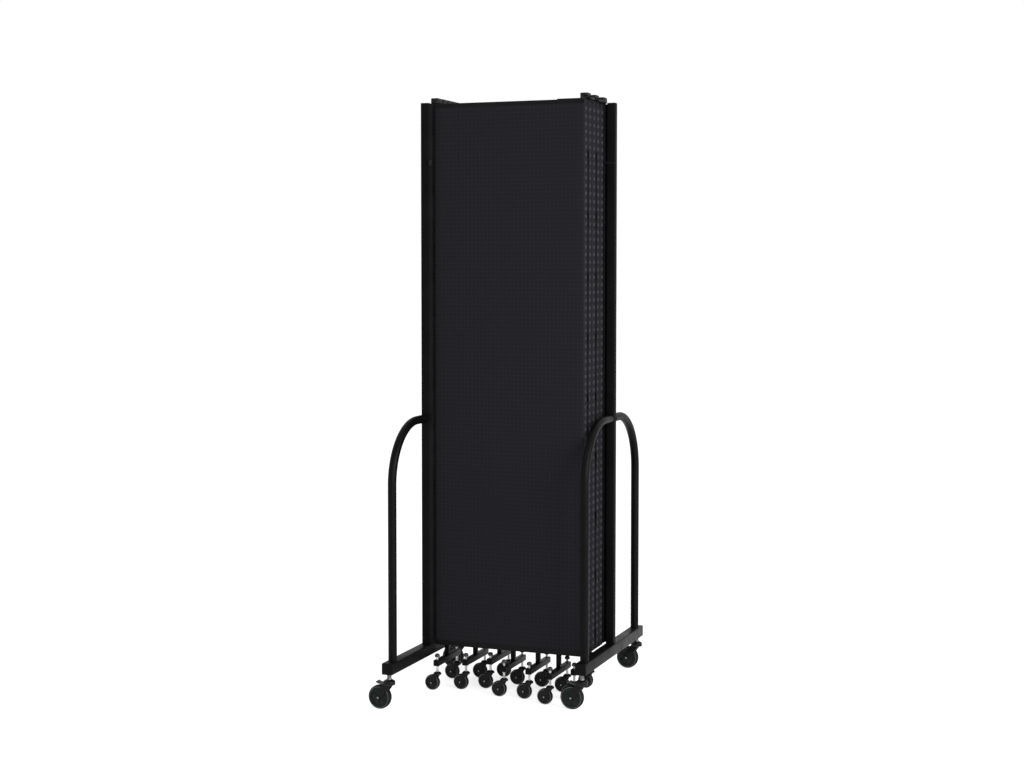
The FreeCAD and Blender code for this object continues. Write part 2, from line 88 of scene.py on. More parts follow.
def lay(across, beside, along, axis):
    """Points from two parts across an axis, in the cyclic order of x, y, z, and one part along it."""
    parts = np.stack(np.broadcast_arrays(across, beside, along), axis=-1).astype(float)
    return parts[..., TO_XYZ[axis]]


def skin(rings, loop=False):
    """Surface through rings of points, each point joined to the same one of the next ring.

    The ends are closed flat, or with loop the last ring joins the first."""
    rows, count = rings.shape[:2]
    number = np.arange(rows * count).reshape(rows, count)
    if loop:
        number = np.vstack([number, number[:1]])
    beside = np.roll(number, -1, axis=1)
    quads = np.stack([number[:-1], beside[:-1], beside[1:], number[1:]], axis=-1).reshape(-1, 4)
    ends = [] if loop else [number[:1, ::-1], number[-1:]]
    return rings.reshape(-1, 3), [quads] + ends


def band(circles, count, inset=0.0):
    """Outline of a taut band round circles (a, b, radius).

    In every direction it is the point of the circle that reaches farthest that way, drawn in by inset."""
    turn = (np.arange(count) + 0.5) * (2 * np.pi / count)
    way = np.stack([np.cos(turn), np.sin(turn)], axis=-1)
    rounds = np.asarray(circles, float)
    reach = way @ rounds[:, :2].T + rounds[:, 2]
    chosen = rounds[np.argmax(reach, axis=1)]
    return chosen[:, :2] + way * np.maximum(chosen[:, 2:] - inset, 0.0)


def corners(low, high, radius):
    """The four corner circles of a rectangle from low to high."""
    a, b = low[0] + radius, low[1] + radius
    c, d = high[0] - radius, high[1] - radius
    return [(a, b, radius), (c, b, radius), (c, d, radius), (a, d, radius)]


def hexagon(a, b, reach, radius):
    """The six corner circles of a nut round a place, reach away from it."""
    turns = np.arange(6) * np.pi / 3
    return [(np.cos(turn) * reach + a, np.sin(turn) * reach + b, radius) for turn in turns]


def slab(circles, low, high, axis, edge, count=32, steps=4):
    """Band outline carried along an axis from low to high, drawn in on a quarter circle near both ends."""
    turn = np.linspace(0, np.pi / 2, steps)
    inset = edge * (1 - np.sin(turn))
    level = edge * (1 - np.cos(turn))
    insets = np.concatenate([inset, inset[::-1]])
    levels = np.concatenate([low + level, high - level[::-1]])
    rings = [lay(*band(circles, count, i).T, w, axis) for i, w in zip(insets, levels)]
    return skin(np.stack(rings))


def block(low, high, axis, radius, edge, count=32, steps=4):
    """Rounded block between two corners: radius on the edges along the axis, edge on the others."""
    a, b, w = ABOUT[axis]
    outline = corners((low[a], low[b]), (high[a], high[b]), radius)
    return slab(outline, low[w], high[w], axis, edge, count, steps)


def eased(points, cut, steps=5, closed=False):
    """Line through points with each corner turned into a parabola that starts and ends cut away from it."""
    line = np.asarray(points, float)
    back, on = np.roll(line, 1, axis=0) - line, np.roll(line, -1, axis=0) - line
    cuts = np.broadcast_to(np.asarray(cut, float), len(line))[:, None]
    start = line + back / np.maximum(np.linalg.norm(back, axis=1, keepdims=True), 1e-12) * cuts
    stop = line + on / np.maximum(np.linalg.norm(on, axis=1, keepdims=True), 1e-12) * cuts
    t = np.linspace(0, 1, steps)[:, None, None]
    curve = np.swapaxes((1 - t) ** 2 * start + 2 * t * (1 - t) * line + t ** 2 * stop, 0, 1)
    if closed:
        return curve.reshape(-1, line.shape[1])
    return np.concatenate([line[:1], curve[1:-1].reshape(-1, line.shape[1]), line[-1:]])


def turned(profile, centre, axis, count=32, loop=False):
    """Profile of (radius, distance along the axis) points turned round an axis through centre."""
    radius, along = np.asarray(profile, float).T[:, :, None]
    turn = np.arange(count) * (2 * np.pi / count)
    rings = lay(radius * np.cos(turn), radius * np.sin(turn), along, axis) + np.asarray(centre, float)
    return skin(rings, loop)


def carried(section, path, across):
    """Section carried along a path that lies square to across.

    A section point (a, b) stands a along across and b along the path's own side, which is its
    direction crossed with across."""
    along = np.gradient(path, axis=0)
    along /= np.linalg.norm(along, axis=1, keepdims=True)
    side = np.cross(along, across)
    return skin(path[:, None] + section[None, :, :1] * across + section[None, :, 1:] * side[:, None])


def circle(radius, count):
    """Circle of that radius as a section."""
    turn = np.arange(count) * (2 * np.pi / count)
    return np.stack([radius * np.cos(turn), radius * np.sin(turn)], axis=-1)


def prism(outline, low, high, axis):
    """Outline carried straight along an axis, with flat ends."""
    a, b = np.asarray(outline, float).T
    return skin(np.stack([lay(a, b, low, axis), lay(a, b, high, axis)]))


def copies(surface, places):
    """The same surface at several places, as one."""
    points, faces = surface
    starts = np.arange(len(places)) * len(points)
    moved = (points[None] + places[:, None]).reshape(-1, 3)
    return moved, [(some[None] + starts[:, None, None]).reshape(-1, some.shape[1]) for some in faces]


def half_turned(surface, sign, centre):
    """Surface set at centre, with sign -1 after half a turn about the upright axis."""
    points, faces = surface
    return points * np.array([sign, sign, 1.0]) + centre, faces


def shifted(surface, place):
    """Surface moved to a place."""
    points, faces = surface
    return points + place, faces


def piece(name, body, parts, stands_for=(), uv=None):
    """Object at the origin from (look, surface) parts, riding on a CAD body and standing for CAD nodes."""
    looks = list(dict.fromkeys(look.name for look, surface in parts))
    points, faces, marks, start = [], [], [], 0
    for look, (spots, groups) in parts:
        for some in groups:
            faces += (some + start).tolist()
            marks.append(np.full(len(some), looks.index(look.name)))
        points.append(spots)
        start += len(spots)
    mesh = bpy.data.meshes.new(name)
    mesh.from_pydata(np.concatenate(points).tolist(), [], faces)
    for look in looks:
        mesh.materials.append(bpy.data.materials[look])
    mesh.polygons.foreach_set("material_index", np.concatenate(marks).astype(np.int32))
    mesh.polygons.foreach_set("use_smooth", np.ones(len(mesh.polygons), bool))
    if uv is not None:
        layer = mesh.uv_layers.new(name="Cloth")
        layer.data.foreach_set("uv", uv.astype(np.float32).ravel())
    mesh.update()
    mesh.set_sharp_from_angle(angle=math.radians(SHARP_FROM))
    thing = bpy.data.objects.new(name, mesh)
    bpy.context.scene.collection.objects.link(thing)
    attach(thing, body)
    if stands_for:
        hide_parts(*stands_for)


# Finishes

# Sockets of a Mix node that mixes colours.
COLOUR_LOW = 6
COLOUR_HIGH = 7
COLOUR_OUT = 2
# The cloth: pitches in metres, noise scales per metre.
WEAVE_PITCH = 1.6 * MM
GRID_PITCH = 14.0 * MM
FUZZ_SCALE = 900.0
CLOTH_GRAIN = 260.0
CLOTH_PATCH = 2.2
CLOTH_ROUGH = (0.82, 0.98)
CLOTH_DEPTH = 0.4 * MM
CLOTH_GLOSS = 0.04


def tone(red, green, blue):
    """Linear colour from screen values of 0 to 255."""
    screen = np.array([red, green, blue]) / 255.0
    linear = np.where(screen <= 0.04045, screen / 12.92, ((screen + 0.055) / 1.055) ** 2.4)
    return (*linear.tolist(), 1.0)


def feed(tree, node, inputs):
    """Each named input of a node given a value, or linked to a socket."""
    for key, value in inputs.items():
        if isinstance(value, bpy.types.NodeSocket):
            tree.links.new(value, node.inputs[key])
        else:
            node.inputs[key].default_value = value


def add(tree, kind, inputs=None, **settings):
    """New node with its settings and inputs."""
    node = tree.nodes.new(kind)
    for key, value in settings.items():
        setattr(node, key, value)
    feed(tree, node, inputs or {})
    return node


def sums(tree, operation, first, second=0.0, third=0.0):
    """Math node's result."""
    return add(tree, "ShaderNodeMath", {0: first, 1: second, 2: third}, operation=operation).outputs[0]


def node_group(name, inputs, outputs):
    """Empty shader node group with a vector input, further float inputs, and float outputs."""
    tree = bpy.data.node_groups.new(name, "ShaderNodeTree")
    tree.interface.new_socket("Vector", in_out="INPUT", socket_type="NodeSocketVector")
    for socket in inputs:
        tree.interface.new_socket(socket, in_out="INPUT", socket_type="NodeSocketFloat")
    for socket in outputs:
        tree.interface.new_socket(socket, in_out="OUTPUT", socket_type="NodeSocketFloat")
    return tree, add(tree, "NodeGroupInput").outputs, add(tree, "NodeGroupOutput").inputs


def surface_grain():
    """Group: fine grain height, and a slow patchy mask for handling marks and dust."""
    tree, given, out = node_group("surface_grain", ["Grain Scale", "Patch Scale"], ["Grain", "Patch"])
    fine = add(tree, "ShaderNodeTexNoise",
               {"Vector": given["Vector"], "Scale": given["Grain Scale"], "Detail": 3.0})
    slow = add(tree, "ShaderNodeTexNoise",
               {"Vector": given["Vector"], "Scale": given["Patch Scale"], "Detail": 4.0, "Roughness": 0.6})
    ramp = add(tree, "ShaderNodeMapRange",
               {"Value": slow.outputs["Fac"], "From Min": 0.32, "From Max": 0.68})
    tree.links.new(fine.outputs["Fac"], out["Grain"])
    tree.links.new(ramp.outputs["Result"], out["Patch"])
    return tree


def cloth_weave():
    """Group: thread height and thread tone of a plain weave on a UV map in metres, with a faint grid.

    Height is half the product of two sine waves, so threads rise in turn, plus a fine fuzz. The grid is
    where two slow waves peak."""
    tree, given, out = node_group("cloth_weave", ["Pitch", "Grid Pitch"], ["Height", "Thread", "Grid"])
    run = add(tree, "ShaderNodeSeparateXYZ", {0: given["Vector"]}).outputs
    step = sums(tree, "DIVIDE", math.pi, given["Pitch"])
    wave = sums(tree, "MULTIPLY", sums(tree, "SINE", sums(tree, "MULTIPLY", run["X"], step)),
                sums(tree, "SINE", sums(tree, "MULTIPLY", run["Y"], step)))
    slow = sums(tree, "DIVIDE", 2 * math.pi, given["Grid Pitch"])
    grid = sums(tree, "MAXIMUM", sums(tree, "COSINE", sums(tree, "MULTIPLY", run["X"], slow)),
                sums(tree, "COSINE", sums(tree, "MULTIPLY", run["Y"], slow)))
    fuzz = add(tree, "ShaderNodeTexNoise", {"Vector": given["Vector"], "Scale": FUZZ_SCALE, "Detail": 2.0})
    height = sums(tree, "ADD", sums(tree, "MULTIPLY", wave, 0.5), fuzz.outputs["Fac"])
    line = add(tree, "ShaderNodeMapRange", {"Value": grid, "From Min": 0.55, "From Max": 1.0})
    tree.links.new(height, out["Height"])
    tree.links.new(sums(tree, "MULTIPLY_ADD", wave, 0.5, 0.5), out["Thread"])
    tree.links.new(line.outputs["Result"], out["Grid"])
    return tree


GRAIN = surface_grain()
WEAVE = cloth_weave()


def blend(tree, share, low, high):
    """Colour between two, each a tone or a socket, by a share from 0 to 1."""
    inputs = {"Factor": share, COLOUR_LOW: low, COLOUR_HIGH: high}
    return add(tree, "ShaderNodeMix", inputs, data_type="RGBA").outputs[COLOUR_OUT]


def spread(tree, share, limits):
    """Number between two limits by a share from 0 to 1."""
    inputs = {"Value": share, "To Min": limits[0], "To Max": limits[1]}
    return add(tree, "ShaderNodeMapRange", inputs).outputs["Result"]


def raised(tree, height, strength, depth):
    """Normal bent by a height."""
    inputs = {"Height": height, "Strength": strength, "Distance": depth}
    return add(tree, "ShaderNodeBump", inputs).outputs["Normal"]


def marked(tree, grain, patch):
    """Grain and patches laid over the object's own coordinates."""
    place = add(tree, "ShaderNodeTexCoord").outputs["Object"]
    inputs = {"Vector": place, "Grain Scale": grain, "Patch Scale": patch}
    return add(tree, "ShaderNodeGroup", inputs, node_tree=GRAIN).outputs


def principled(name):
    """Material with its Principled shader, ready for links."""
    made = bpy.data.materials.new(name)
    made.use_nodes = True
    return made, made.node_tree, made.node_tree.nodes["Principled BSDF"]


def worn(name, dark, pale, rough, grain, depth, patch=14.0, metallic=0.0, gloss=0.12):
    """Hard finish: two tones and two roughnesses over slow patches, with a fine raised grain."""
    made, tree, shader = principled(name)
    marks = marked(tree, grain, patch)
    feed(tree, shader, {
        "Base Color": blend(tree, marks["Patch"], tone(*dark), tone(*pale)),
        "Roughness": spread(tree, marks["Patch"], rough),
        "Normal": raised(tree, marks["Grain"], 0.6, depth),
        "Metallic": metallic,
        "Specular IOR Level": gloss})
    return made


def woven(name, dark, pale, grid_tone):
    """Panel cloth: two thread tones, a faint paler grid that comes and goes in patches, a raised weave."""
    made, tree, shader = principled(name)
    run = add(tree, "ShaderNodeUVMap", uv_map="Cloth").outputs["UV"]
    threads = add(tree, "ShaderNodeGroup", {"Vector": run, "Pitch": WEAVE_PITCH, "Grid Pitch": GRID_PITCH},
                  node_tree=WEAVE).outputs
    marks = marked(tree, CLOTH_GRAIN, CLOTH_PATCH)
    base = blend(tree, threads["Thread"], tone(*dark), tone(*pale))
    share = sums(tree, "MULTIPLY", threads["Grid"], sums(tree, "MULTIPLY_ADD", marks["Patch"], 0.5, 0.5))
    feed(tree, shader, {
        "Base Color": blend(tree, share, base, tone(*grid_tone)),
        "Roughness": spread(tree, marks["Grain"], CLOTH_ROUGH),
        "Normal": raised(tree, threads["Height"], 0.5, CLOTH_DEPTH),
        "Specular IOR Level": CLOTH_GLOSS})
    return made


CLOTH = woven("charcoal_cloth", (27, 27, 30), (37, 36, 40), (38, 37, 41))
TICK = worn("edge_tick_cloth", (50, 48, 52), (60, 58, 62), (0.85, 0.95), 700.0, 0.3 * MM, gloss=0.05)
RAIL = worn("rail_black_satin", (12, 12, 12), (20, 20, 20), (0.4, 0.52), 900.0, 0.05 * MM, gloss=0.08)
MOULD = worn("cap_moulded_black", (12, 12, 12), (20, 20, 20), (0.4, 0.55), 1400.0, 0.12 * MM, gloss=0.14)
POWDER = worn("frame_powder_black", (5, 5, 5), (10, 10, 10), (0.36, 0.5), 700.0, 0.10 * MM, gloss=0.07)
MATTE = worn("post_matte_black", (15, 15, 15), (20, 20, 20), (0.5, 0.62), 700.0, 0.10 * MM, gloss=0.02)
DARK = worn("fixing_black", (10, 10, 10), (17, 17, 17), (0.35, 0.48), 900.0, 0.06 * MM, gloss=0.1)
ZINC = worn("zinc_plate", (140, 140, 138), (208, 208, 205), (0.22, 0.38), 900.0, 0.05 * MM,
            patch=60.0, metallic=1.0, gloss=0.5)
STEEL = worn("stem_steel", (66, 67, 66), (112, 113, 111), (0.26, 0.42), 900.0, 0.05 * MM,
             patch=60.0, metallic=1.0, gloss=0.5)
BOLT = worn("axle_bolt_grey", (110, 116, 114), (160, 166, 163), (0.3, 0.45), 900.0, 0.05 * MM,
            patch=90.0, metallic=1.0, gloss=0.5)
FORK = worn("caster_black", (8, 8, 8), (15, 15, 15), (0.3, 0.44), 800.0, 0.08 * MM, patch=40.0, gloss=0.14)
BIG_TYRE = worn("big_tyre_rubber", (10, 12, 11), (19, 22, 21), (0.5, 0.68), 900.0, 0.12 * MM,
                patch=45.0, gloss=0.1)
BIG_HUB = worn("big_hub_plastic", (17, 23, 22), (29, 36, 34), (0.36, 0.5), 900.0, 0.08 * MM,
               patch=45.0, gloss=0.14)
# Pale ring on the wheel faces: a paler grey of its own, raised further to paint in the reflection that the
# ring catches.
RIM_RING_AND_GLINT = worn("rim_ring_grey", (82, 87, 84), (108, 113, 110), (0.36, 0.5), 900.0, 0.05 * MM,
           patch=50.0, gloss=0.2)
SMALL_TYRE = worn("small_tyre_rubber", (10, 10, 10), (19, 19, 19), (0.5, 0.68), 900.0, 0.12 * MM,
                  patch=60.0, gloss=0.1)
SMALL_HUB = worn("small_hub_plastic", (18, 18, 18), (31, 31, 31), (0.34, 0.48), 900.0, 0.08 * MM,
                 patch=60.0, gloss=0.14)
KNOB = worn("stem_cap_grey", (34, 34, 34), (62, 62, 62), (0.3, 0.45), 900.0, 0.06 * MM,
            patch=80.0, gloss=0.3)
PEDAL = worn("pedal_grey", (44, 48, 46), (66, 71, 67), (0.38, 0.52), 1100.0, 0.12 * MM,
             patch=50.0, gloss=0.2)


# Panels

PANELS = 5
BOARD_CORNER = 4.0 * MM
BOARD_CROWN = 1.0 * MM
BOARD_LEVELS = 49
LONG_STEPS = 24
SHORT_STEPS = 5
ARC_STEPS = 5
HINGE_FIRST = 43.0 * MM
HINGE_PITCH = 203.0 * MM
HINGE_ROWS = 9
TICK_PITCH = HINGE_PITCH / 8
TICK_HALF = 9.0 * MM
TICK_RADIUS = 6.0 * MM
TICK_RISE = 0.8 * MM


def board_outline(half_wide, half_deep):
    """Rounded rectangle from the right edge's front end on: straight runs and quarter circles in order."""
    turn = np.linspace(0, np.pi / 2, ARC_STEPS, endpoint=False)
    a, b = half_wide - BOARD_CORNER, half_deep - BOARD_CORNER
    up = np.linspace(-b, b, SHORT_STEPS, endpoint=False)
    back = np.linspace(a, -a, LONG_STEPS, endpoint=False)
    right = np.stack([np.full(SHORT_STEPS, half_wide), up], axis=-1)
    rear = np.stack([back, np.full(LONG_STEPS, half_deep)], axis=-1)
    first = np.stack([a + BOARD_CORNER * np.cos(turn), b + BOARD_CORNER * np.sin(turn)], axis=-1)
    second = np.stack([-a - BOARD_CORNER * np.sin(turn), b + BOARD_CORNER * np.cos(turn)], axis=-1)
    half = np.concatenate([right, first, rear, second])
    return np.concatenate([half, -half])


def cloth_board(number):
    """Fabric-wrapped board: the rounded outline at many heights, swelled on its faces.

    The swell is the board's crown times one minus the square of the place across and up the face. The UV
    map runs in metres round the outline and up."""
    node = "fabric_panel_%d" % number
    low, high = box(node)
    centre, half = (low + high) / 2, (high - low) / 2
    outline = board_outline(half[0], half[1])
    level = np.linspace(-1, 1, BOARD_LEVELS)[:, None]
    swell = 1 + BOARD_CROWN / half[1] * (1 - (outline[:, 0] / half[0]) ** 2) * (1 - level ** 2)
    rings = lay(outline[:, 0] + centre[0], outline[:, 1] * swell + centre[1],
                centre[2] + half[2] * level, "z")
    step = np.linalg.norm(np.roll(outline, -1, axis=0) - outline, axis=1)
    run = np.concatenate([[0.0], np.cumsum(step)])
    rise = half[2] * (level[:, 0] + 1)
    across = np.stack([run[:-1], run[1:], run[1:], run[:-1]], axis=-1)[None]
    upward = np.stack([rise[:-1], rise[:-1], rise[1:], rise[1:]], axis=-1)[:, None]
    walls = np.stack(np.broadcast_arrays(across, upward), axis=-1).reshape(-1, 2)
    piece("cloth_board_%d" % number, OWNER[node], [(CLOTH, skin(rings))], [node],
          uv=np.concatenate([walls, outline[::-1], outline]))


def edge_ticks(number):
    """Small raised cloth pads in a row up both edges of a panel."""
    node = "fabric_panel_%d" % number
    low, high = box(node)
    middle = (low[1] + high[1]) / 2
    end = TICK_HALF - TICK_RADIUS
    rows = np.arange(low[2] + TICK_PITCH, high[2] - TICK_PITCH / 2, TICK_PITCH)
    oval = [(-end, 0, TICK_RADIUS), (end, 0, TICK_RADIUS)]
    pad = slab(oval, -TICK_RISE, TICK_RISE, "x", TICK_RISE, count=12, steps=2)
    places = np.concatenate([
        np.stack([np.full(len(rows), side), np.full(len(rows), middle), rows], axis=-1)
        for side in (low[0], high[0])])
    piece("edge_ticks_%d" % number, OWNER[node], [(TICK, copies(pad, places))])


RAIL_WALL = 1.2 * MM
RAIL_TOP = 13.0 * MM
RAIL_BOTTOM = 17.0 * MM
RAIL_EDGE = 1.0 * MM
RAIL_LIP = 0.4 * MM
RAIL_INNER = 0.3 * MM


def panel_foot(number):
    """Height of the underside of a panel's bottom rail."""
    return box("fabric_panel_%d" % number)[0][2] - RAIL_WALL


def rails(number):
    """Top and bottom rail: a channel with its open side to the board, carried along the panel."""
    node = "panel_frame_%d" % number
    low, high = box("fabric_panel_%d" % number)
    wall = RAIL_WALL
    y0, y1 = low[1] - wall, high[1] + wall
    z0, z1 = low[2] - wall, high[2] + wall
    foot_lip, head_lip = z0 + RAIL_BOTTOM, z1 - RAIL_TOP
    foot = [(y0, z0), (y1, z0), (y1, foot_lip), (y1 - wall, foot_lip), (y1 - wall, z0 + wall),
            (y0 + wall, z0 + wall), (y0 + wall, foot_lip), (y0, foot_lip)]
    foot_cut = [RAIL_EDGE, RAIL_EDGE, RAIL_LIP, RAIL_LIP, RAIL_INNER, RAIL_INNER, RAIL_LIP, RAIL_LIP]
    head = [(y0, z1), (y0, head_lip), (y0 + wall, head_lip), (y0 + wall, z1 - wall),
            (y1 - wall, z1 - wall), (y1 - wall, head_lip), (y1, head_lip), (y1, z1)]
    head_cut = [RAIL_EDGE, RAIL_LIP, RAIL_LIP, RAIL_INNER, RAIL_INNER, RAIL_LIP, RAIL_LIP, RAIL_EDGE]
    made = [(RAIL, prism(eased(line, cut, steps=4, closed=True), low[0], high[0], "x"))
            for line, cut in ((foot, foot_cut), (head, head_cut))]
    piece("rails_%d" % number, OWNER[node], made, [node])


CAP_INNER = 15.0 * MM
CAP_BODY_END = 7.0 * MM
CAP_EAR = 12.0 * MM
CAP_TO_POST = 12.8 * MM
CAP_RISE = 20.0 * MM
CAP_DEPTH = 38.0 * MM
CAP_CORNER = 6.0 * MM
CAP_EDGE = 3.4 * MM
STOP_CORNER = 3.2 * MM
STOP_EDGE = 2.4 * MM
EAR_UPPER = (10.3 * MM, 20.0 * MM)
EAR_LOWER = (0.6 * MM, 9.7 * MM)
EAR_EDGE = 2.6 * MM
ARM_LONG = 85.0 * MM
ARM_DEEP = 24.0 * MM
ARM_HIGH = 3.5 * MM
ARM_LAP = 2.0 * MM
ARM_EDGE = 1.8 * MM


def hinged_sides(number):
    """Which ends of a panel, -1 left and 1 right, meet a neighbour."""
    return {1: [1], PANELS: [-1]}.get(number, [-1, 1])


def corner_caps(number):
    """Moulded caps on the top corners: a tall stop, an ear past the panel's end and a low arm on the rail.

    The ears of odd panels sit above those of even ones, so that they can pass. Beside a post the cap is
    one block."""
    node = "panel_frame_%d" % number
    low, high = box("fabric_panel_%d" % number)
    top = high[2] + RAIL_WALL
    middle = (low[1] + high[1]) / 2
    ear = EAR_UPPER if number % 2 else EAR_LOWER
    full, flat = (0.0, CAP_RISE), (0.0, ARM_HIGH)
    forms = []
    for side, end in ((-1, low[0]), (1, high[0])):
        inner = end - side * CAP_INNER
        if side not in hinged_sides(number):
            forms.append((inner, end + side * CAP_TO_POST, CAP_DEPTH, full, CAP_CORNER, CAP_EDGE))
            continue
        forms += [
            (inner, end - side * CAP_BODY_END, CAP_DEPTH, full, STOP_CORNER, STOP_EDGE),
            (inner, end + side * CAP_EAR, CAP_DEPTH, ear, CAP_CORNER, EAR_EDGE),
            (inner - side * ARM_LONG, inner + side * ARM_LAP, ARM_DEEP, flat, CAP_CORNER, ARM_EDGE)]
    made = []
    for start, stop, deep, rise, corner, edge in forms:
        left, right = sorted((start, stop))
        made.append((MOULD, block((left, middle - deep / 2, top + rise[0]),
                                  (right, middle + deep / 2, top + rise[1]), "z", corner, edge)))
    piece("corner_caps_%d" % number, OWNER[node], made, [node])


LEAF_THICK = 1.2 * MM
LEAF_WIDE = 16.0 * MM
LEAF_FROM = 4.3 * MM
LEAF_CORNER = 1.5 * MM
LEAF_EDGE = 0.3 * MM
KNUCKLE_RADIUS = 3.0 * MM
KNUCKLE_LONG = 24.0 * MM
KNUCKLE_GAP = 0.2 * MM
KNUCKLE_EDGE = 0.4 * MM
ROD_RADIUS = 1.6 * MM
ROD_TIP = 0.96 * MM
ROD_PAST = 24.2 * MM
ROD_SHOULDER = 23.6 * MM


def fold_beside(number, side):
    """Name of the fold joint at an end of a panel: odd folds are on the right, even ones on the left."""
    return "fold_%d" % (number if (number % 2 == 1) == (side == 1) else number - 1)


def edge_hinges(number):
    """Hinge leaves on the panel's edges, each with a rolled knuckle, and the rods that odd panels carry."""
    node = "panel_frame_%d" % number
    low, high = box("fabric_panel_%d" % number)
    middle = (low[1] + high[1]) / 2
    odd = number % 2 == 1
    rows = panel_foot(number) + HINGE_FIRST + HINGE_PITCH * np.arange(HINGE_ROWS)
    stack = np.stack([np.zeros(len(rows)), np.zeros(len(rows)), rows], axis=-1)
    start = -KNUCKLE_LONG - KNUCKLE_GAP if odd else KNUCKLE_GAP
    stop = start + KNUCKLE_LONG
    made = []
    for side, end in ((-1, low[0]), (1, high[0])):
        if side not in hinged_sides(number):
            continue
        axis = joint_place(fold_beside(number, side)) * LEVEL
        away = 1 if axis[1] > middle else -1
        y0, y1 = sorted((middle + away * LEAF_FROM, middle + away * (LEAF_FROM + LEAF_WIDE)))
        x0, x1 = sorted((end, end + side * LEAF_THICK))
        leaf = block((x0, y0, start), (x1, y1, stop), "x", LEAF_CORNER, LEAF_EDGE, count=16, steps=2)
        wall = [(KNUCKLE_RADIUS - KNUCKLE_EDGE, start), (KNUCKLE_RADIUS, start + KNUCKLE_EDGE),
                (KNUCKLE_RADIUS, stop - KNUCKLE_EDGE), (KNUCKLE_RADIUS - KNUCKLE_EDGE, stop)]
        made += [(DARK, copies(leaf, stack)), (DARK, copies(turned(wall, axis, "z", count=16), stack))]
        if odd:
            reach = [(ROD_TIP, rows[0] - ROD_PAST), (ROD_RADIUS, rows[0] - ROD_SHOULDER),
                     (ROD_RADIUS, rows[-1] + ROD_SHOULDER), (ROD_TIP, rows[-1] + ROD_PAST)]
            made.append((DARK, turned(reach, axis, "z", count=12)))
    piece("edge_hinges_%d" % number, OWNER[node], made, [node])


# End frames, worked out as the left one about the middle of its post. The right one is the same after
# half a turn.

BASE_SIDE = 38.1 * MM
BASE_HEIGHT = 118.0 * MM
BASE_LONG = 655.0 * MM
BASE_TOP = BASE_HEIGHT + BASE_SIDE
BASE_CORNER = 3.0 * MM
TUBE_EDGE = 0.3 * MM
PLUG = 2.5 * MM
PLUG_EDGE = 1.2 * MM
POST_WIDE = 28.6 * MM
POST_DEEP = 25.4 * MM
POST_CORNER = 2.4 * MM
STRIP_OUT = 13.4 * MM
STRIP_LEG = 6.0 * MM
STRIP_FLANGE = 3.0 * MM
STRIP_BACK = 12.0 * MM
STRIP_LOW = 159.0 * MM
STRIP_HIGH = 2012.0 * MM
STRIP_EDGE = 0.7 * MM
RIVETS = 8
RIVET_X = 24.1 * MM
RIVET_LINE = np.array([(0.2, -2.0), (1.5, -1.8), (2.5, -1.1), (3.0, -0.3), (3.0, 0.5)]) * MM
KEEPER_HIGH = 1812.0 * MM
KEEPER_HALF = 6.0 * MM
KEEPER_RADIUS = 6.0 * MM
KEEPER_RISE = 5.0 * MM
KEEPER_SUNK = 0.5 * MM
KEEPER_EDGE = 3.2 * MM
STRAP_HALF = 3.5 * MM
STRAP_THICK = 1.5 * MM
STRAP_CORNER = 1.0 * MM
STRAP_EDGE = 0.6 * MM
HOOP_RADIUS = 14.3 * MM
HOOP_LEG = 282.5 * MM
HOOP_HIGH = 938.0 * MM
HOOP_BEND = 200.0 * MM
BEND_STEPS = 25
WELD_RADIUS = 1.6 * MM
WELD_OUT = 0.2 * MM
STEM_Y = 309.5 * MM
STEM_LINE = np.array([(4.6, 83.0), (5.5, 84.0), (5.5, 99.9), (8.9, 100.1), (8.6, 101.4), (7.4, 105.0),
                      (7.0, 107.0), (7.0, 114.0), (8.6, 114.4), (9.0, 115.0), (9.0, 118.5)]) * MM


def end_post():
    """Upright tube with a plug, and the angle strip that joins it to the end panel."""
    x, y = POST_WIDE / 2, POST_DEEP / 2
    top = box("left_post")[1][2]
    tube = block((-x, -y, BASE_TOP), (x, y, top - PLUG), "z", POST_CORNER, TUBE_EDGE)
    plug = block((-x, -y, top - PLUG), (x, y, top), "z", POST_CORNER, PLUG_EDGE)
    far = x + STRIP_OUT
    angle = [(x, -y), (far, -y), (far, STRIP_BACK), (far - STRIP_LEG, STRIP_BACK),
             (far - STRIP_LEG, -y + STRIP_FLANGE), (x, -y + STRIP_FLANGE)]
    strip = prism(eased(angle, STRIP_EDGE, steps=4, closed=True), STRIP_LOW, STRIP_HIGH, "z")
    return [(MATTE, tube), (MOULD, plug), (RAIL, strip)]


def end_fixings():
    """Domed rivets down the strip, the oval keeper near its top and the keeper's band behind the post."""
    x, y = POST_WIDE / 2, POST_DEEP / 2
    rows = panel_foot(1) + HINGE_FIRST + HINGE_PITCH * np.arange(RIVETS)
    places = np.stack([np.full(RIVETS, RIVET_X), np.full(RIVETS, -y), rows], axis=-1)
    rivets = copies(turned(RIVET_LINE, (0, 0, 0), "y", count=16), places)
    keeper_x = x + STRIP_OUT / 2
    oval = [(KEEPER_HIGH + step * KEEPER_HALF, keeper_x, KEEPER_RADIUS) for step in (-1, 1)]
    keeper = slab(oval, -y - KEEPER_RISE, -y + KEEPER_SUNK, "y", KEEPER_EDGE, steps=6)
    strap = block((-x, y, KEEPER_HIGH - STRAP_HALF),
                  (x + STRIP_OUT - STRIP_LEG, y + STRAP_THICK, KEEPER_HIGH + STRAP_HALF),
                  "y", STRAP_CORNER, STRAP_EDGE)
    return [(DARK, rivets), (MOULD, keeper), (MOULD, strap)]


